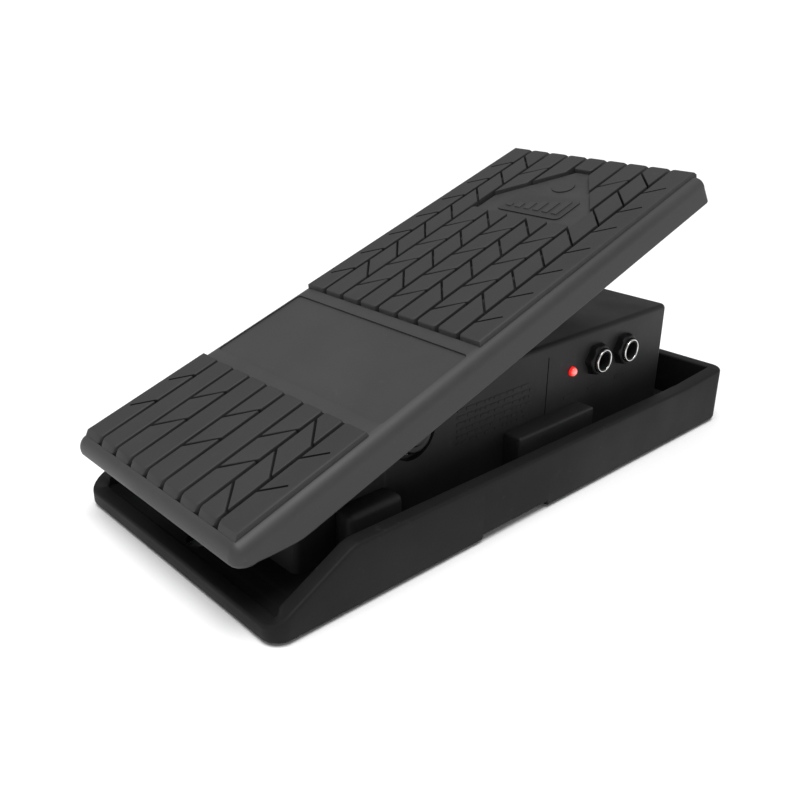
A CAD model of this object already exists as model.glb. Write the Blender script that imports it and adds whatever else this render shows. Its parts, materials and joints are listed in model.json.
import json
import math

import bmesh
import bpy
from mathutils import Matrix, Vector


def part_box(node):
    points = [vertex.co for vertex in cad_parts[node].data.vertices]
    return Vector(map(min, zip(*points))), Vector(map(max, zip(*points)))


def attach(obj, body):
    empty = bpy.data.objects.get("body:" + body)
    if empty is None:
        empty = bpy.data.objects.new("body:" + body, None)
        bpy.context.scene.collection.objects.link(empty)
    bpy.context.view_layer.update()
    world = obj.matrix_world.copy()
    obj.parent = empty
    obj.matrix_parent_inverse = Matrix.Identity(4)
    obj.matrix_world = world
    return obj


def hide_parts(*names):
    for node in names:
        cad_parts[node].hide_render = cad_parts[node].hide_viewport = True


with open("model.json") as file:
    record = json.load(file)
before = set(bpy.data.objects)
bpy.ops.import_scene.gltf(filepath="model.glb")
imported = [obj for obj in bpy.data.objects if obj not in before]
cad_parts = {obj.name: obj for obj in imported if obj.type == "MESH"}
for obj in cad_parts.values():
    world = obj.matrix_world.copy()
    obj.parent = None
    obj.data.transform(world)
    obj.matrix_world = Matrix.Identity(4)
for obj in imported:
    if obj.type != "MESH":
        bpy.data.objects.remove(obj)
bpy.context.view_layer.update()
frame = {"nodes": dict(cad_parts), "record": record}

# ------------------------------------------------------------------ places
# Everything is drawn in millimetres in one of two local frames and moved by a matrix into
# the shared frame: TRAY has its origin at the tray's heel end, on its lower edge, and TREADLE
# has its origin on the pivot with Y along the treadle and Z square to it.
MM = 0.001
joints = {j["name"]: j for j in frame["record"]["behaviour"]["joints"]}
pivot = Vector(joints["treadle_rock"]["pos_m"])
tray_low, tray_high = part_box("base_tray")
TILT = math.radians(19.26)
TRAY = Matrix.Translation((0, tray_low.y, tray_low.z)) @ Matrix.Scale(MM, 4)
TREADLE = Matrix.Translation(pivot) @ Matrix.Rotation(TILT, 4, "X") @ Matrix.Scale(MM, 4)
TO_TRAY = TRAY.inverted()

tray_len = (tray_high.y - tray_low.y) / MM
tray_half = tray_high.x / MM
pivot_y, pivot_z = (TO_TRAY @ pivot).yz

RIM = 20.4
WALL = 5.5
FLOOR = 4.5
UNDER_FLOOR = 2.0
RAMP = ((0.0, 5.2), (28.3, RIM))
TOE_RISE, RISE_Y = 1.5, 200.0
# notch: start, end, height; hole: radius, x, y; window: x and y ranges
NOTCH = (81.5, 114.5, 1.6)
TRAY_CORNER = 6
HANG_HOLE = (4.5, 0, 11.5)
FLOOR_WINDOW = ((-29, 29), (34, 200))

HOUSING_HALF = 36.0
HOUSING_HEEL, HOUSING_TOE, HOUSING_TOP = 21.0, 208.6, 49.3
HOUSING_WALL = 2.5
# lugs: start, end, top; holes on the jack side: y, z, radius; slot and seam: y and z ranges
LUG_OUT = 43.5
LUGS = ((36, 57, 21.5), (111, 153, 22.5))
AXLE_HOLE_R, RECESS_R, BOSS_R = 4.05, 9.6, 11.5
JACK_SIDE_HOLES = ((161.6, 37.4, 4.6), (179.1, 37.4, 4.6), (147.6, 35.7, 1.9))
SWITCH_SLOT = ((158, 166), (34.3, 37.7))
SEAM = ((133.0, 133.5), (22.8, 44.5))
JACK_Z = 37.4

RIB_TOP = 18.27
RIB_H = 1.7
BODY_TOP = RIB_TOP - RIB_H
UNDER = BODY_TOP - 2.5
SKIRT_LOW = RIB_TOP - 12.3
TREADLE_HALF = 46.6
HEEL_V, TOE_V = -72.5, 151.9
EDGE_R = 5.0
PLAN_R = 4.2
RIB_PITCH = 9.564
RIB_GAP = 1.35
CUT_PITCH = 15.4
HEEL_PAD, HEEL_ENDS = (-66.8, -20.4), (1.7, 0.4)
TOE_PAD, TOE_ENDS = (28.3, 149.1), (0.4, 1.7)
PAD_HALF = RIB_PITCH * 4.5
PAD_SEAT = 2.1
SHEET = 0.3
PANEL = (42.6, -15.0, 22.9, 0.6)
CLEAR = (99.5, 111.3, 140.0)
CLEAR_HALF = RIB_PITCH * 2.5
FLARE = 1.3


# ------------------------------------------------------------------ mesh helpers
def new_piece(name, verts, faces, matrix, body, slot, replaces=(), smooth_deg=32):
    """Makes a mesh object from points in a local frame and fastens it to a CAD body."""
    mesh = bpy.data.meshes.new(name)
    mesh.from_pydata([matrix @ Vector(v) for v in verts], [], faces)
    bm = bmesh.new()
    bm.from_mesh(mesh)
    bmesh.ops.remove_doubles(bm, verts=bm.verts, dist=1e-6)
    bmesh.ops.dissolve_degenerate(bm, edges=bm.edges, dist=1e-6)
    bmesh.ops.recalc_face_normals(bm, faces=bm.faces)
    bm.to_mesh(mesh)
    bm.free()
    obj = bpy.data.objects.new(name, mesh)
    bpy.context.scene.collection.objects.link(obj)
    shade(obj, smooth_deg)
    if body:
        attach(obj, body)
        if replaces:
            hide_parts(*replaces)
    return obj


def shade(obj, smooth_deg=32):
    """Smooth shading with sharp edges above an angle."""
    limit = math.radians(smooth_deg)
    bm = bmesh.new()
    bm.from_mesh(obj.data)
    for face in bm.faces:
        face.smooth = True
    for edge in bm.edges:
        two = len(edge.link_faces) == 2
        edge.smooth = two and edge.calc_face_angle(0) < limit
    bm.to_mesh(obj.data)
    bm.free()


def bevel(obj, width, segments=3, angle=30):
    mod = obj.modifiers.new("bevel", "BEVEL")
    mod.width = width * MM
    mod.segments = segments
    mod.limit_method = "ANGLE"
    mod.angle_limit = math.radians(angle)
    mod.harden_normals = False
    mod.use_clamp_overlap = True
    return mod


def apply_modifiers(obj):
    dg = bpy.context.evaluated_depsgraph_get()
    mesh = bpy.data.meshes.new_from_object(obj.evaluated_get(dg))
    obj.modifiers.clear()
    obj.data = mesh


def cut(obj, cutters, operation="DIFFERENCE"):
    """Cuts closed meshes out of obj, or adds them to it, then throws them away."""
    for tool in cutters:
        mod = obj.modifiers.new("cut", "BOOLEAN")
        mod.operation = operation
        mod.solver = "EXACT"
        mod.object = tool
    apply_modifiers(obj)
    for tool in cutters:
        bpy.data.objects.remove(tool)


def prism(points, low, high, axis="Z"):
    """Closed prism on a plane outline; the outline is (x, y) for Z and (y, z) for X."""
    place = (lambda p, h: (p[0], p[1], h)) if axis == "Z" else (lambda p, h: (h, p[0], p[1]))
    n = len(points)
    verts = [place(p, low) for p in points] + [place(p, high) for p in points]
    faces = [tuple(range(n)), tuple(range(n, 2 * n))]
    faces += [(i, (i + 1) % n, n + (i + 1) % n, n + i) for i in range(n)]
    return verts, faces


def box_mesh(x, y, z):
    return prism([(x[0], y[0]), (x[1], y[0]), (x[1], y[1]), (x[0], y[1])], z[0], z[1])


def rounded_box(half, low, high, radius, z0, z1):
    """Upright prism on a rounded rectangle that is symmetric about X = 0."""
    right = side_outline(half, low, high, radius, [], 0.0, 6)
    return prism(right + [(-x, y) for x, y in reversed(right)], z0, z1)


def circle(r, cy, cz, count=64):
    step = 2 * math.pi / count
    return [(cy + r * math.cos(i * step), cz + r * math.sin(i * step)) for i in range(count)]


def joined(parts):
    """Several (verts, faces) as one."""
    verts, faces = [], []
    for v, f in parts:
        base = len(verts)
        verts += v
        faces += [tuple(i + base for i in face) for face in f]
    return verts, faces


def side_outline(half, low, high, radius, breaks, inset=0.0, corner_steps=8, high_radius=None):
    """Right-hand half of a rounded rectangle, from the low end to the high end."""
    r = max(radius - inset, 0.05)
    points = []
    for i in range(corner_steps + 1):
        a = math.radians(-90 + 90 * i / corner_steps)
        points.append((half - inset - r + r * math.cos(a), low + inset + r + r * math.sin(a)))
    points += [(half - inset, y) for y in breaks]
    r = max((high_radius or radius) - inset, 0.05)
    for i in range(corner_steps + 1):
        a = math.radians(90 * i / corner_steps)
        points.append((half - inset - r + r * math.cos(a), high - inset - r + r * math.sin(a)))
    return points


def loft(rings):
    """Closed skin through rings of right-hand half points; the left half is its mirror image.

    The first and last rings are closed by strips across X, so a cap may follow a slope.
    """
    full = [ring + [(-x, y, z) for x, y, z in reversed(ring)] for ring in rings]
    n = len(full[0])
    verts = [p for ring in full for p in ring]
    faces = []
    for k in range(len(full) - 1):
        for i in range(n):
            j = (i + 1) % n
            faces.append((k * n + i, k * n + j, (k + 1) * n + j, (k + 1) * n + i))
    for base in (0, (len(full) - 1) * n):
        for i in range(n // 2 - 1):
            faces.append((base + i, base + i + 1, base + n - 2 - i, base + n - 1 - i))
    return verts, faces


def lathe(profile, centre, segments=72):
    """Solid of revolution about an axis along X; profile is closed, as (x, radius)."""
    cy, cz = centre
    n = len(profile)
    verts, faces = [], []
    for s in range(segments):
        a = 2 * math.pi * s / segments
        verts += [(x, cy + r * math.cos(a), cz + r * math.sin(a)) for x, r in profile]
    for s in range(segments):
        t = (s + 1) % segments
        for i in range(n):
            j = (i + 1) % n
            faces.append((s * n + i, s * n + j, t * n + j, t * n + i))
    return verts, faces


def smooth_min(a, b, soft):
    """The lower of two heights, rounded where they cross."""
    d = max(soft - abs(a - b), 0.0) / soft
    return min(a, b) - d * d * soft * 0.25


# ------------------------------------------------------------------ materials
def shader(name):
    mat = bpy.data.materials.new(name)
    mat.use_nodes = True
    nodes, links = mat.node_tree.nodes, mat.node_tree.links
    return mat, nodes, links, nodes["Principled BSDF"]


def noise(nodes, links, coord, scale, detail=4.0, rough=0.55):
    tex = nodes.new("ShaderNodeTexNoise")
    tex.inputs["Scale"].default_value = scale
    tex.inputs["Detail"].default_value = detail
    tex.inputs["Roughness"].default_value = rough
    links.new(coord, tex.inputs["Vector"])
    return tex


def ramp(nodes, links, source, low, high, start=0.3, end=0.7):
    """Maps a grey value onto a range of greys or colours."""
    node = nodes.new("ShaderNodeValToRGB")
    node.color_ramp.elements[0].position = start
    node.color_ramp.elements[1].position = end
    for element, value in zip(node.color_ramp.elements, (low, high)):
        element.color = (*value, 1) if isinstance(value, tuple) else (value, value, value, 1)
    links.new(source, node.inputs["Fac"])
    return node


def moulded(name, colour, rough=0.5, grain=900.0, bump=0.12, spread=0.12, wear=0.25, specular=0.5):
    """Moulded plastic or rubber: spark-eroded grain, blotchy sheen and paler worn edges."""
    mat, nodes, links, bsdf = shader(name)
    coord = nodes.new("ShaderNodeTexCoord").outputs["Object"]
    blotch = noise(nodes, links, coord, 28.0, 3.0)
    fine = noise(nodes, links, coord, grain, 3.0, 0.6)
    dust = noise(nodes, links, coord, grain * 0.22, 6.0, 0.7)

    low = tuple(c * (1 - spread) for c in colour)
    high = tuple(c * (1 + spread) for c in colour)
    base = ramp(nodes, links, blotch.outputs["Fac"], low, high)
    speck = ramp(nodes, links, dust.outputs["Fac"], 0.0, 1.0, 0.62, 0.74)
    mix_dust = nodes.new("ShaderNodeMix")
    mix_dust.data_type = "RGBA"
    mix_dust.blend_type = "SCREEN"
    mix_dust.inputs["B"].default_value = (0.012, 0.0115, 0.011, 1)
    links.new(speck.outputs["Color"], mix_dust.inputs["Factor"])
    links.new(base.outputs["Color"], mix_dust.inputs["A"])

    edge = ramp(nodes, links, nodes.new("ShaderNodeNewGeometry").outputs["Pointiness"], 0.0, 1.0, 0.51, 0.60)
    scrape = nodes.new("ShaderNodeMath")
    scrape.operation = "MULTIPLY"
    links.new(edge.outputs["Color"], scrape.inputs[0])
    links.new(noise(nodes, links, coord, 160.0, 5.0).outputs["Fac"], scrape.inputs[1])
    worn = nodes.new("ShaderNodeMix")
    worn.data_type = "RGBA"
    worn.inputs["B"].default_value = (*[c + wear * 0.06 for c in colour], 1)
    links.new(scrape.outputs[0], worn.inputs["Factor"])
    links.new(mix_dust.outputs["Result"], worn.inputs["A"])
    links.new(worn.outputs["Result"], bsdf.inputs["Base Color"])

    sheen = ramp(nodes, links, blotch.outputs["Fac"], rough - 0.07, rough + 0.08)
    links.new(sheen.outputs["Color"], bsdf.inputs["Roughness"])
    bsdf.inputs["Specular IOR Level"].default_value = specular

    bumps = nodes.new("ShaderNodeBump")
    bumps.inputs["Strength"].default_value = bump
    bumps.inputs["Distance"].default_value = 0.0002
    links.new(fine.outputs["Fac"], bumps.inputs["Height"])
    links.new(bumps.outputs["Normal"], bsdf.inputs["Normal"])
    return mat


def metal(name, colour, rough=0.28, brushed=220.0):
    """Plated or turned metal with fine lines round it and cloudy tarnish."""
    mat, nodes, links, bsdf = shader(name)
    coord = nodes.new("ShaderNodeTexCoord").outputs["Object"]
    cloud = noise(nodes, links, coord, 60.0, 4.0)
    stretch = nodes.new("ShaderNodeMapping")
    stretch.inputs["Scale"].default_value = (30.0, 1.0, 1.0)
    links.new(coord, stretch.inputs["Vector"])
    lines = noise(nodes, links, stretch.outputs["Vector"], brushed, 4.0, 0.7)
    tone = ramp(nodes, links, cloud.outputs["Fac"], tuple(c * 0.82 for c in colour), colour)
    links.new(tone.outputs["Color"], bsdf.inputs["Base Color"])
    bsdf.inputs["Metallic"].default_value = 1.0
    shine = ramp(nodes, links, cloud.outputs["Fac"], rough - 0.08, rough + 0.12)
    links.new(shine.outputs["Color"], bsdf.inputs["Roughness"])
    bumps = nodes.new("ShaderNodeBump")
    bumps.inputs["Strength"].default_value = 0.12
    bumps.inputs["Distance"].default_value = 0.0001
    links.new(lines.outputs["Fac"], bumps.inputs["Height"])
    links.new(bumps.outputs["Normal"], bsdf.inputs["Normal"])
    return mat


def lit_red(name):
    """Clear red lens with a hot core, faded towards its rim."""
    mat, nodes, links, bsdf = shader(name)
    coord = nodes.new("ShaderNodeTexCoord").outputs["Object"]
    axis = nodes.new("ShaderNodeSeparateXYZ")
    links.new(coord, axis.inputs["Vector"])
    tip = nodes.new("ShaderNodeMapRange")
    tip.inputs["From Min"].default_value = 0.0362
    tip.inputs["From Max"].default_value = 0.0380
    links.new(axis.outputs["X"], tip.inputs["Value"])
    swirl = noise(nodes, links, coord, 700.0, 2.0)
    blend = nodes.new("ShaderNodeMath")
    blend.operation = "MULTIPLY_ADD"
    blend.inputs[1].default_value = 0.12
    links.new(swirl.outputs["Fac"], blend.inputs[0])
    links.new(tip.outputs["Result"], blend.inputs[2])
    tone = ramp(nodes, links, blend.outputs[0], (0.8, 0.012, 0.01), (1.0, 0.22, 0.2), 0.35, 1.1)
    links.new(tone.outputs["Color"], bsdf.inputs["Base Color"])
    links.new(tone.outputs["Color"], bsdf.inputs["Emission Color"])
    bsdf.inputs["Emission Strength"].default_value = 0.95
    bsdf.inputs["Roughness"].default_value = 0.16
    bsdf.inputs["Coat Weight"].default_value = 0.6
    return mat


MAT = {
    "treadle_plastic": moulded("treadle_plastic", (0.034, 0.034, 0.035), 0.52, specular=0.35),
    "tread_rubber": moulded("tread_rubber", (0.026, 0.026, 0.027), 0.6, 1300.0, 0.18, specular=0.3),
    "emblem_plastic": moulded("emblem_plastic", (0.026, 0.026, 0.027), 0.5, 1500.0, 0.06, specular=0.3),
    "tray_plastic": moulded("tray_plastic", (0.0085, 0.0085, 0.0088), 0.55, specular=0.12, wear=0.15),
    "housing_plastic": moulded("housing_plastic", (0.014, 0.014, 0.0145), 0.5, specular=0.22),
    "label_black": moulded("label_black", (0.011, 0.011, 0.0115), 0.5, 500.0, 0.05, specular=0.2),
    "foot_rubber": moulded("foot_rubber", (0.02, 0.02, 0.02), 0.75, 1500.0, 0.25, specular=0.25),
    "jack_black": moulded("jack_black", (0.006, 0.006, 0.0062), 0.42, 1500.0, 0.05, specular=0.2),
    "knob_black": moulded("knob_black", (0.03, 0.03, 0.031), 0.5),
    "slider_white": moulded("slider_white", (0.7, 0.7, 0.69), 0.4, 1500.0, 0.05, 0.04),
    "bush_nylon": moulded("bush_nylon", (0.72, 0.7, 0.64), 0.4, 1200.0, 0.05, 0.05),
    "gear_acetal": moulded("gear_acetal", (0.74, 0.71, 0.62), 0.35, 1200.0, 0.05, 0.05),
    "board_green": moulded("board_green", (0.02, 0.13, 0.05), 0.3, 300.0, 0.05),
    "component_dark": moulded("component_dark", (0.05, 0.06, 0.075), 0.35, 600.0, 0.05),
    "battery_case": metal("battery_case", (0.34, 0.35, 0.38), 0.4),
    "steel_sheet": moulded("steel_sheet", (0.045, 0.045, 0.046), 0.42, 700.0, 0.15),
    "black_steel": metal("black_steel", (0.05, 0.05, 0.052), 0.36),
    "screw_steel": metal("screw_steel", (0.5, 0.5, 0.5), 0.34),
    "bright_steel": metal("bright_steel", (0.62, 0.62, 0.63), 0.26),
    "pot_metal": metal("pot_metal", (0.52, 0.52, 0.53), 0.36),
    "nickel": metal("nickel", (0.8, 0.79, 0.77), 0.2),
    "led_red": lit_red("led_red"),
}


def finish_with(obj, slot_name):
    obj.data.materials.clear()
    obj.data.materials.append(MAT[slot_name])


# ------------------------------------------------------------------ tray
def rim_height(y):
    """Height of the rim over the distance from the heel end: a ramp, then level."""
    (y0, z0), (y1, z1) = RAMP
    ramp_z = z0 + (y - y0) * (z1 - z0) / (y1 - y0)
    rise = TOE_RISE * min(max((y - RISE_Y) / (tray_len - WALL - RISE_Y), 0), 1)
    return smooth_min(ramp_z, z1, 1.2) + rise


def lower_edge(x, y):
    """Height of the tray's lower edge, which is notched half-way along each side."""
    on_side = abs(x) > tray_half - 8
    return NOTCH[2] if on_side and NOTCH[0] < y < NOTCH[1] else 0.0


def make_tray():
    breaks = [8 + i for i in range(26)] + [50, 66]
    breaks += [edge + side for edge in NOTCH[:2] for side in (-0.3, 0.3)]
    breaks += [150, 190, 200, 206, 212, 218, 223]

    outer = side_outline(tray_half, 0, tray_len, TRAY_CORNER, breaks, 0, 16)
    height = [rim_height(y) for _, y in outer]

    def ring(inset, z_of):
        points = side_outline(tray_half, 0, tray_len, TRAY_CORNER, breaks, inset, 16)
        return [(x, y, z_of(i, x, y)) for i, (x, y) in enumerate(points)]

    def top(drop):
        return lambda i, x, y: max(height[i] - drop, FLOOR - 0.2 - drop * 0.2)

    def at(z):
        return lambda i, x, y: z

    def foot(z):
        return lambda i, x, y: lower_edge(*outer[i]) + z

    r = 1.1
    rings = [ring(7.5, at(UNDER_FLOOR)), ring(7.4, foot(0.0)), ring(0.9, foot(0.0)), ring(0.25, foot(0.25))]
    rings += [ring(0.0, foot(0.9)), ring(0.0, lambda i, x, y: height[i] - 2.4)]
    for step in range(0, 7):
        a = math.radians(90 * step / 6)
        rings.append(ring(r * (1 - math.cos(a)), top(r * (1 - math.sin(a)))))
    r = 0.7
    for step in range(0, 5):
        a = math.radians(90 * step / 4)
        rings.append(ring(WALL - r * (1 - math.sin(a)), top(r * (1 - math.cos(a)))))
    rings += [ring(WALL, lambda i, x, y: max(FLOOR + 0.6, FLOOR)), ring(WALL + 0.6, at(FLOOR))]
    # the wall never stands lower than the floor, so the heel end stays open and flat
    fixed = []
    for index, points in enumerate(rings):
        if index == len(rings) - 2:
            points = [
                (x, y, min(FLOOR + 0.6, max(height[i] - 0.7, FLOOR))) for i, (x, y, z) in enumerate(points)
            ]
        fixed.append(points)
    verts, faces = loft(fixed)
    tray = new_piece("tray_shell", verts, faces, TRAY, "base", "tray_plastic", ["base_tray"])
    finish_with(tray, "tray_plastic")
    hole = new_piece("hole", *prism(circle(*HANG_HOLE), -1, 8), TRAY, None, None)
    window = new_piece("window", *box_mesh(*FLOOR_WINDOW, (0, 12)), TRAY, None, None)
    cut(tray, [hole, window])
    shade(tray)
    finish_with(tray, "tray_plastic")
    return tray


# ------------------------------------------------------------------ housing
def housing_top(y, inset=0.0):
    slope_at_pivot = pivot_z + (UNDER - 3.2) / math.cos(TILT)
    slope = slope_at_pivot + (y - pivot_y) * math.tan(TILT)
    return smooth_min(slope, HOUSING_TOP, 1.0) - inset


def make_housing():
    breaks = [28, 36, 46, 56, 62, 66, 68, 69, 70, 71, 72, 74, 78, 90, 120, 150, 180]
    radius = 2.5
    edge = 2.0

    def ring(inset, z_of):
        points = side_outline(HOUSING_HALF, HOUSING_HEEL, HOUSING_TOE, radius, breaks, inset, 10)
        return [(x, y, z_of(y)) for x, y in points]

    rings = [ring(0, lambda y: FLOOR), ring(0, lambda y: FLOOR + 6)]
    for step in range(0, 9):
        a = math.radians(90 * step / 8)
        drop = edge * (1 - math.sin(a))
        rings.append(ring(edge * (1 - math.cos(a)), lambda y, d=drop: housing_top(y, d)))
    outer_v, outer_f = loft(rings)
    replaced = ["housing", "housing_lugs"]
    shell = new_piece("housing_shell", outer_v, outer_f, TRAY, "base", "housing_plastic", replaced)

    inner = [ring(HOUSING_WALL, lambda y: FLOOR - 1), ring(HOUSING_WALL, lambda y: housing_top(y, 3.5))]
    inner += [ring(HOUSING_WALL + 1, lambda y: housing_top(y, HOUSING_WALL))]
    hollow = new_piece("hollow", *loft(inner), TRAY, None, None)

    lugs = []
    for s in (-1, 1):
        for low, high, top in LUGS:
            x = sorted((s * (HOUSING_HALF - 1), s * LUG_OUT))
            lug = new_piece("lug", *box_mesh(x, (low, high), (FLOOR, top)), TRAY, None, None)
            bevel(lug, 0.9 if low > 100 else 2.2, 4)
            apply_modifiers(lug)
            lugs.append(lug)
    cut(shell, lugs, "UNION")

    posts = []
    for s in (-1, 1):
        x = sorted((s * (HOUSING_HALF - 1), s * 28.5))
        posts.append(new_piece("boss", *prism(circle(BOSS_R, pivot_y, pivot_z), *x, "X"), TRAY, None, None))
    cut(shell, [hollow])
    cut(shell, posts, "UNION")

    tools = []

    def bore(r, x0, x1, y, z, count=64):
        tools.append(new_piece("bore", *prism(circle(r, y, z, count), x0, x1, "X"), TRAY, None, None))

    def slot_box(x, y, z):
        tools.append(new_piece("slot", *box_mesh(x, y, z), TRAY, None, None))

    bore(AXLE_HOLE_R, -60, 60, pivot_y, pivot_z)
    bore(RECESS_R, 34, 60, pivot_y, pivot_z, 96)
    bore(RECESS_R, -60, -34, pivot_y, pivot_z, 96)
    slot_box((-28.4, -20.6), (pivot_y - 21, pivot_y + 21), (pivot_z, 60))
    slot_box((15.6, 28.4), (pivot_y - 21, pivot_y + 21), (pivot_z, 60))
    for y, z, r in JACK_SIDE_HOLES:
        bore(r, 31, 60, y, z)
    bore(3.5, -60, -32, 180, 36)
    bore(4.6, -60, -32, 143, 36)
    slot_box((-60, -32), *SWITCH_SLOT)
    slot_box((35.6, 60), *SEAM)
    cut(shell, tools)
    shade(shell, 28)
    finish_with(shell, "housing_plastic")
    return shell


# ------------------------------------------------------------------ treadle
def skirt_bottom(v):
    """Height of the skirt's lower edge, which rises towards the heel."""
    lifts = ((-72.5, 3.6), (-66.5, 3.2), (-55, 0.5), (-52.5, 0.1), (-50, 0), (200, 0))
    stations = [(station, SKIRT_LOW + lift) for station, lift in lifts]
    for (v0, z0), (v1, z1) in zip(stations, stations[1:]):
        if v <= v1:
            return z0 + (z1 - z0) * max(v - v0, 0) / (v1 - v0)
    return SKIRT_LOW


def ear_mesh(x0, x1):
    """One of the two ears that hang from the underside, with its bush hole."""
    count = 72
    outline, hole = [], []
    for i in range(count):
        a = 2 * math.pi * i / count
        y, z = 12 * math.cos(a), 12 * math.sin(a)
        if z > 2.3:
            lift = (z - 2.3) / (12 - 2.3)
            z = 2.3 + lift * (UNDER + 0.5 - 2.3)
            beside = lift < 1 and abs(math.cos(a)) > 0.2
            y = math.copysign(11.7 + 1.3 * lift, y) if beside else 13 * math.cos(a) / 0.2
        outline.append((y, z))
        hole.append((6 * math.cos(a), 6 * math.sin(a)))
    verts = [(x, y, z) for x in (x0, x1) for y, z in outline]
    verts += [(x, y, z) for x in (x0, x1) for y, z in hole]
    faces = []
    for i in range(count):
        j = (i + 1) % count
        o0, o1, h0, h1 = 0, count, 2 * count, 3 * count
        faces += [(o0 + i, o0 + j, o1 + j, o1 + i), (h0 + i, h1 + i, h1 + j, h0 + j)]
        faces += [(o0 + i, h0 + i, h0 + j, o0 + j), (o1 + i, o1 + j, h1 + j, h1 + i)]
    return verts, faces


def make_treadle():
    breaks = [-67, -66, -64, -61, -58, -55, -53.5, -52.5, -51, -49, -40, -20, 0, 25, 40, 80, 120]
    radius = PLAN_R

    def ring(inset, z_of, low=HEEL_V, corner=radius):
        points = side_outline(TREADLE_HALF, low, TOE_V, corner, breaks, inset, 10, 2.6)
        return [(x, y, z_of(y)) for x, y in points]

    def flared(points):
        shoulder = BODY_TOP - EDGE_R
        deep = [min(max((shoulder - z) / (shoulder - SKIRT_LOW), 0), 1) for _, _, z in points]
        return [(x * (1 + FLARE / TREADLE_HALF * d), y, z) for (x, y, z), d in zip(points, deep)]

    rings = []
    for step in range(0, 11):
        a = math.radians(90 * step / 10)
        z = BODY_TOP - EDGE_R * (1 - math.cos(a))
        rings.append(ring(EDGE_R * (1 - math.sin(a)), lambda y, z=z: max(z, skirt_bottom(y) + 0.05)))
    r = 0.7
    for step in range(0, 7):
        a = math.radians(90 * step / 6)
        turn, rise = 1 - math.cos(a), 1 - math.sin(a)
        low = []
        for x, y, _ in ring(r * turn, lambda y: 0):
            heel = min(max((-63 - y) / 7, 0), 1)
            z = skirt_bottom(y) + (r + 1.6 * heel) * rise
            low.append((x, y + 1.6 * heel * turn, min(z, BODY_TOP - EDGE_R - 0.05)))
        rings.append(low)
    wall = 2.8

    def inner_ring(inset, z_of):
        points = side_outline(TREADLE_HALF - wall, HEEL_V + 5.5, TOE_V - wall, 2.4, breaks[3:], inset, 10)
        return [(x, y, z_of(y)) for x, y in points]

    inner = [inner_ring(0, lambda y: -20), inner_ring(0, lambda y: UNDER - 0.8)]
    inner.append(inner_ring(0.8, lambda y: UNDER))
    rings = [flared(points) for points in rings]
    body = new_piece("treadle_shell", *loft(rings), TREADLE, "treadle", "treadle_plastic", ["treadle_body"])
    hollow = new_piece("hollow", *loft(inner), TREADLE, None, None)
    half, low, high, deep = PANEL
    sunk = rounded_box(half, low, high, 1.5, BODY_TOP - deep, BODY_TOP + 2)
    tools = [hollow, new_piece("sunk", *sunk, TREADLE, None, None)]
    for (v0, v1), (e0, e1) in ((HEEL_PAD, HEEL_ENDS), (TOE_PAD, TOE_ENDS)):
        low, high = v0 - e0 - 0.03, v1 + e1 + 0.03
        seat = rounded_box(PAD_HALF + 0.03, low, high, 0.9, BODY_TOP - PAD_SEAT, BODY_TOP + 2)
        tools.append(new_piece("seat", *seat, TREADLE, None, None))
    cut(body, tools)

    ribs = []
    for s in (-1, 1):
        ribs.append(box_mesh((s * 40 - 0.8, s * 40 + 0.8), (-55, TOE_V - 2.2), (UNDER - 3, UNDER + 0.6)))
        for v in (-40, 20, 60, 100, 135):
            ribs.append(box_mesh((s * 41 - 3.9, s * 41 + 3.9), (v, v + 1.6), (UNDER - 2.9, UNDER + 0.5)))
    ribs += [ear_mesh(22, 27), ear_mesh(-27, -22)]
    extra = new_piece("treadle_ribs", *joined(ribs), TREADLE, "treadle", "treadle_plastic", ["treadle_body"])
    shade(body, 28)
    finish_with(body, "treadle_plastic")
    finish_with(extra, "treadle_plastic")
    return body


def clear_edge(u):
    """Distance along the treadle at which the flat part of the toe pad ends, at u across it."""
    return CLEAR[1] + (CLEAR[2] - CLEAR[1]) * (CLEAR_HALF - abs(u)) / (CLEAR_HALF - 2)


def rib_spans(k, pad):
    """Stretches of a pad that rib k covers, as (low, slope of low edge, high).

    The middle ribs of the toe pad leave a gap for the emblem.
    """
    u = (k - 5) * RIB_PITCH
    if pad is HEEL_PAD or abs(u) > CLEAR_HALF:
        return [(pad[0], 0, pad[1])]
    slope = (clear_edge(u + 4) - clear_edge(u - 4)) / 8
    return [(pad[0], 0, CLEAR[0]), (min(clear_edge(u), 139.0), slope, pad[1])]


def rib_outline(k):
    """Sides of rib k; the outermost ribs have no gap at their outer side."""
    low, high = (k - 5.5) * RIB_PITCH, (k - 4.5) * RIB_PITCH
    return low + (0 if k == 1 else RIB_GAP / 2), high - (0 if k == 9 else RIB_GAP / 2)


def rib_segments(k, low, tilt, high, first, count):
    """Plan outlines of the blocks that slanted cuts leave of one rib."""
    left, right = rib_outline(k)
    u = (k - 5) * RIB_PITCH
    rise = 1 if k % 2 else -1
    gap = 0.55
    reach = abs(tilt) * 4
    cuts = [first + i * CUT_PITCH for i in range(count)]
    cuts = [c for c in cuts if low + reach + 6 < c < high - 6]
    if k in (1, 9):
        cuts = []
    edges = [(low, tilt)] + [(c, rise) for c in cuts] + [(high, 0)]
    blocks = []
    for i, ((c0, t0), (c1, t1)) in enumerate(zip(edges, edges[1:])):
        g0, g1 = (gap if i else 0), (gap if i < len(edges) - 2 else 0)
        corners = [(left, c0 + t0 * (left - u) + g0), (right, c0 + t0 * (right - u) + g0)]
        corners += [(right, c1 + t1 * (right - u) - g1), (left, c1 + t1 * (left - u) - g1)]
        blocks.append(corners)
    return blocks


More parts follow.
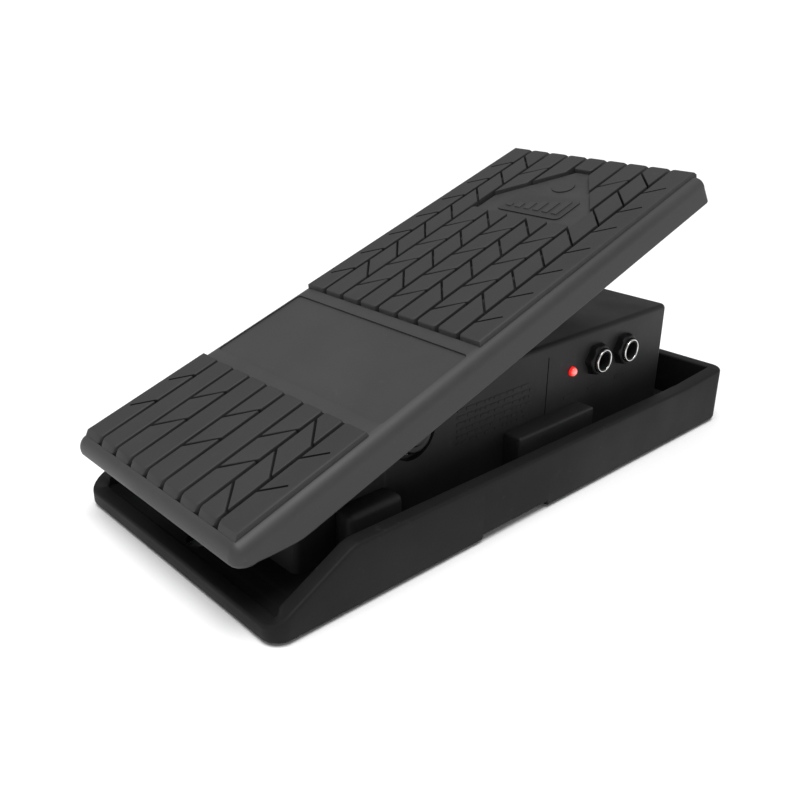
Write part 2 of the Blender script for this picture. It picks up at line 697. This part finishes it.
def rib_block(points, ends, outer):
    """A block with rounded upper edges.

    ends gives how far each open end slopes outwards, or None where a cut ends the block; outer
    is -1 or +1 on the side where the rib meets the rim, whose edge is rounder.
    """
    z0, z1 = BODY_TOP - PAD_SEAT + 0.1, RIB_TOP
    cx = sum(p[0] for p in points) / 4
    outline = []
    for i, (x, y) in enumerate(points):
        inward = 1 if i in (0, 1) else -1
        slope = ends[0 if inward > 0 else 1]
        side_in = 1 if x < cx else -1
        if slope is None or side_in == -outer:
            outline.append((x, y, inward, slope or 0))
            continue
        corner = [(x, y + inward * 1.0, inward, slope), (x + side_in * 0.3, y + inward * 0.3, inward, slope)]
        corner.append((x + side_in * 1.0, y, inward, slope))
        outline += corner if i in (1, 3) else corner[::-1]
    cy = sum(p[1] for p in outline) / len(outline)
    outline.sort(key=lambda p: math.atan2(p[1] - cy, p[0] - cx))
    levels = [(z0, 0.0), (BODY_TOP, 0.0)]
    round_r = 0.42
    for step in range(6):
        a = math.radians(90 * step / 5)
        levels.append((z1 - round_r * (1 - math.sin(a)), round_r * (1 - math.cos(a))))
    verts, faces = [], []
    for z, inset in levels:
        up = min((z1 - z) / RIB_H, 1)
        for x, y, inward, slope in outline:
            at_side = 1 if x < cx else -1
            extra = 2.6 * inset if at_side == -outer else inset
            verts.append((x + at_side * extra, y + inward * (inset - slope * up), z))
    n = len(outline)
    for k in range(len(levels) - 1):
        for i in range(n):
            j = (i + 1) % n
            faces.append((k * n + i, k * n + j, (k + 1) * n + j, (k + 1) * n + i))
    top = (len(levels) - 1) * n
    faces += [tuple(range(n)), tuple(range(top, top + n))]
    return verts, faces


def slit(u, v, rise, start, stop):
    """Cutter for one slanted cut of an outermost rib, which stops short of the rim."""
    c = math.sqrt(0.5)
    corners = [(start, -0.4), (stop, -0.4), (stop, 0.4), (start, 0.4)]
    turned = [(u + c * (a - rise * b), v + c * (rise * a + b)) for a, b in corners]
    return prism(turned, BODY_TOP - 0.6, RIB_TOP + 1)


def make_pad(name, node, pad, slopes, plan):
    """A tread pad: thin sheet with rows of blocks; plan gives each rib's first cut and cut count."""
    sheet_top = BODY_TOP - PAD_SEAT + SHEET
    span = (pad[0] - slopes[0] + 0.05, pad[1] + slopes[1] - 0.05)
    parts = [box_mesh((-PAD_HALF, PAD_HALF), span, (BODY_TOP - PAD_SEAT, sheet_top))]
    edge_parts, slits = [], []
    if pad is TOE_PAD:
        half = CLEAR_HALF - RIB_GAP / 2
        flat = [(-half, CLEAR[0]), (half, CLEAR[0]), (half, clear_edge(half)), (2, CLEAR[2])]
        flat += [(-2, CLEAR[2]), (-half, clear_edge(half))]
        parts.append(prism(flat, sheet_top - 0.1, BODY_TOP - 0.01))
    for k in range(1, 10):
        first, count = plan(k)
        outer = -1 if k == 1 else (1 if k == 9 else 0)
        for low, tilt, high in rib_spans(k, pad):
            blocks = rib_segments(k, low, tilt, high, first, count)
            for i, points in enumerate(blocks):
                at_start = slopes[0] if low == pad[0] else (0.0 if tilt == 0 else None)
                at_end = slopes[1] if high == pad[1] else 0.0
                ends = (at_start if i == 0 else None, at_end if i == len(blocks) - 1 else None)
                (edge_parts if outer else parts).append(rib_block(points, ends, outer))
        if outer:
            u = (k - 5) * RIB_PITCH
            start, stop = (-3.2, 9) if k == 1 else (-9, 3.2)
            slits += [slit(u, first + i * CUT_PITCH, 1, start, stop) for i in range(count)]
    edges = new_piece(name + "_edges", *joined(edge_parts), TREADLE, "treadle", "tread_rubber", [node])
    cut(edges, [new_piece("slits", *joined(slits), TREADLE, None, None)])
    shade(edges, 40)
    finish_with(edges, "tread_rubber")
    obj = new_piece(name, *joined(parts), TREADLE, "treadle", "tread_rubber", [node], 40)
    finish_with(obj, "tread_rubber")
    return obj


def heel_plan(k):
    if k % 2:
        return -49.8, 2
    return -59.2, 3 if k == 8 else 0


def toe_plan(k):
    return (40.1 if k % 2 else 46.4), 7


# ------------------------------------------------------------------ small metal and plastic parts
def hex_nut(x0, x1, flats, bore, centre, count=96):
    """Hexagon nut whose outer corners are turned off, as (verts, faces)."""
    cy, cz = centre
    apothem = flats / 2

    def ring(x, radius_of):
        return [(x, cy + radius_of(a) * math.cos(a), cz + radius_of(a) * math.sin(a)) for a in angles]

    angles = [2 * math.pi * i / count for i in range(count)]

    def hexagon(a):
        return apothem / math.cos((a % (math.pi / 3)) - math.pi / 6)

    outward = 1 if x1 > x0 else -1
    turned_off = ((2.2, 1.13), (0.8, 1.07), (0.35, 1.01), (0, 0.93))
    chamfer = [(x1 - outward * back, limit) for back, limit in turned_off]
    rings = [ring(x0, lambda a: bore), ring(x0, hexagon)]
    for x, limit in chamfer:
        rings.append(ring(x, lambda a, m=limit: min(hexagon(a), apothem * m)))
    rings += [ring(x1, lambda a: bore + 0.35), ring(x1 - outward * 0.35, lambda a: bore)]
    verts = [p for r in rings for p in r]
    faces = []
    for k in range(len(rings)):
        m = (k + 1) % len(rings)
        for i in range(count):
            j = (i + 1) % count
            faces.append((k * count + i, k * count + j, m * count + j, m * count + i))
    return verts, faces


def barrel_profile():
    """Black threaded barrel of a jack socket."""
    profile = [(31.0, 3.25), (31.0, 4.5)]
    x = 36.3
    while x < 39.0:
        profile += [(x, 4.5), (x + 0.25, 4.3)]
        x += 0.5
    return profile + [(39.3, 4.5), (39.75, 4.5), (39.8, 3.7), (40.32, 3.66), (40.36, 3.5), (40.1, 3.25)]


def ring_profile():
    """Bright rounded ring round the mouth of a jack socket."""
    middle = 40.02
    points = [(39.7, 3.7), (39.7, 4.42)]
    points += [(middle + 0.48 * math.sin(a), 4.08 + 0.36 * math.cos(a)) for a in
               [math.radians(d) for d in range(0, 190, 15)]]
    return [(x, max(min(y, 4.45), 3.68)) for x, y in points]


def make_jacks():
    centres = [((box_y - tray_low.y) / MM, JACK_Z) for box_y in jack_centres_y()]
    rings = joined([lathe(ring_profile(), c, 96) for c in centres])
    barrels = joined([lathe(barrel_profile(), c, 96) for c in centres])
    nuts = joined([hex_nut(36.02, 39.2, 11, 4.53, c) for c in centres])
    ring = new_piece("jack_ring_pair", *rings, TRAY, "base", "nickel", ["jack_bushes"], 40)
    barrel = new_piece("jack_barrel_pair", *barrels, TRAY, "base", "jack_black", ["jack_bushes"], 40)
    nut = new_piece("jack_nut_pair", *nuts, TRAY, "base", "jack_black", ["jack_nuts"], 24)
    finish_with(ring, "nickel")
    finish_with(barrel, "jack_black")
    finish_with(nut, "jack_black")


def jack_centres_y():
    low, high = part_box("jack_bushes")
    radius = 4.5 * MM
    return [low.y + radius, high.y - radius]


def make_label():
    """Raised bars where printed text would be: rows of short and long ones, no letters."""
    parts = []
    lengths = (2.2, 3.6, 1.4, 2.9, 4.2, 1.8, 2.5, 3.3)
    for row in range(6):
        z = 25.0 + row * 2.35
        y, count = 87.0, 0
        while y < 123.5:
            length = min(lengths[(count * 3 + row * 5) % 8], 125.0 - y)
            parts.append(box_mesh((35.9, 36.17), (y, y + length), (z, z + 1.0)))
            y += length + 0.7
            count += 1
    for y, length in ((143.8, 7.0), (158.4, 6.4), (175.9, 6.4)):
        parts.append(box_mesh((35.9, 36.12), (y, y + length), (25.4, 26.7)))
    bars = new_piece("label_bars", *joined(parts), TRAY, "base", "label_black", ["side_label"])
    bevel(bars, 0.05, 2)
    finish_with(bars, "label_black")


def make_axle_ends():
    centre = (pivot_y, pivot_z)
    nuts = joined([hex_nut(s * 35.0, s * 37.8, 13, 4.06, centre) for s in (-1, 1)])
    nut = new_piece("axle_nut_pair", *nuts, TRAY, "base", "black_steel", ["axle_nuts"], 24)
    finish_with(nut, "black_steel")


def make_led():
    """Round indicator: collar, straight wall and domed end."""
    base = 36.0
    r = 1.8
    profile = [(32.0, 0.001), (32.0, r), (base + 0.2, r)]
    profile += [(base + 0.2 + 1.76 * math.sin(a), r * math.cos(a)) for a in
                [math.radians(d) for d in range(10, 90, 10)]]
    profile += [(base + 1.96, 0.001)]
    low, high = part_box("indicator_led")
    centre = (((low.y + high.y) / 2 - tray_low.y) / MM, ((low.z + high.z) / 2 - tray_low.z) / MM)
    lens = lathe(profile, centre, 48)
    led = new_piece("indicator_lens", *lens, TRAY, "base", "led_red", ["indicator_led"], 50)
    finish_with(led, "led_red")


def dress_cad_nodes():
    """The CAD nodes that stay: cleaned shading, a fine bevel and their own material."""
    slots = {row["node"]: row["material_slot"] for row in frame["record"]["subparts"]}
    for name, obj in frame["nodes"].items():
        finish_with(obj, slots[name])
        weld = obj.modifiers.new("weld", "WELD")
        weld.merge_threshold = 1e-6
        flat = obj.modifiers.new("planar", "DECIMATE")
        flat.decimate_type = "DISSOLVE"
        flat.angle_limit = math.radians(0.5)
        width = 0.12 if name in ("side_label", "emblem_plate", "led_leads", "pinion", "gear_sector") else 0.25
        bevel(obj, width, 2, 35)
        for face in obj.data.polygons:
            face.use_smooth = True
        smooth = obj.modifiers.new("normals", "WEIGHTED_NORMAL")
        smooth.keep_sharp = False


# ------------------------------------------------------------------ stage, light and camera
def make_stage():
    """Pale floor that is level around the object and rises very slowly far from it."""
    spokes = 48
    rings = ((0.5, 0), (1.5, 0), (3, 0), (5, 0.06), (8, 0.3), (12, 0.8), (20, 2.2), (32, 5.0))
    verts = [(0, 0, 0)]
    for radius, z in rings:
        for i in range(spokes):
            a = 2 * math.pi * i / spokes
            verts.append((radius * math.cos(a), radius * math.sin(a), z))
    faces = [(0, 1 + i, 1 + (i + 1) % spokes) for i in range(spokes)]
    for k in range(len(rings) - 1):
        low, high = 1 + k * spokes, 1 + (k + 1) * spokes
        for i in range(spokes):
            j = (i + 1) % spokes
            faces.append((low + i, high + i, high + j, low + j))
    mesh = bpy.data.meshes.new("floor")
    mesh.from_pydata(verts, [], faces)
    for face in mesh.polygons:
        face.use_smooth = True
    floor = bpy.data.objects.new("floor", mesh)
    bpy.context.scene.collection.objects.link(floor)
    mat, nodes, links, bsdf = shader("floor_pale")
    coord = nodes.new("ShaderNodeTexCoord").outputs["Object"]
    tone = ramp(nodes, links, noise(nodes, links, coord, 3.0).outputs["Fac"], 0.93, 0.94)
    links.new(tone.outputs["Color"], bsdf.inputs["Base Color"])
    bsdf.inputs["Roughness"].default_value = 0.7
    bsdf.inputs["Specular IOR Level"].default_value = 0.2
    floor.data.materials.append(mat)


def area_light(name, place, target, size, power):
    data = bpy.data.lights.new(name, "AREA")
    data.size = size
    data.energy = power
    lamp = bpy.data.objects.new(name, data)
    lamp.location = place
    lamp.rotation_euler = (Vector(target) - Vector(place)).to_track_quat("-Z", "Y").to_euler()
    bpy.context.scene.collection.objects.link(lamp)


def make_lights():
    world = bpy.data.worlds.new("studio")
    bpy.context.scene.world = world
    world.use_nodes = True
    background = world.node_tree.nodes["Background"]
    background.inputs["Color"].default_value = (1.0, 1.0, 1.0, 1)
    background.inputs["Strength"].default_value = 0.44
    sun = bpy.data.lights.new("overhead", "SUN")
    sun.energy = 2.3
    sun.angle = math.radians(36)
    lamp = bpy.data.objects.new("overhead", sun)
    lamp.rotation_euler = Vector((-0.2, 0.12, -1.0)).to_track_quat("-Z", "Y").to_euler()
    bpy.context.scene.collection.objects.link(lamp)
    area_light("softbox", (-0.1, -0.3, 0.8), (0, -0.05, 0.06), 0.5, 1.6)
    bpy.context.scene.view_settings.view_transform = "Standard"


def make_camera():
    """Camera seen from the heel on the jack side, with a slight roll."""
    data = bpy.data.cameras.new("camera")
    data.sensor_width = 36.0
    data.lens = 40.30
    cam = bpy.data.objects.new("camera", data)
    place = TRAY @ Vector((215.76, -106.75, 153.73))
    azimuth, height, roll = math.radians(46.858), math.radians(23.118), math.radians(0.685)
    level = math.cos(height)
    ahead = Vector((-math.sin(azimuth) * level, math.cos(azimuth) * level, -math.sin(height)))
    aim = ahead.to_track_quat("-Z", "Y").to_matrix().to_4x4()
    cam.matrix_world = Matrix.Translation(place) @ aim @ Matrix.Rotation(roll, 4, "Z")
    bpy.context.scene.collection.objects.link(cam)
    bpy.context.scene.camera = cam


dress_cad_nodes()
make_tray()
make_housing()
make_treadle()
make_pad("heel_pad_blocks", "heel_tread_pad", HEEL_PAD, HEEL_ENDS, heel_plan)
make_pad("toe_pad_blocks", "toe_tread_pad", TOE_PAD, TOE_ENDS, toe_plan)
make_jacks()
make_axle_ends()
make_label()
make_led()
make_stage()
make_lights()
make_camera()
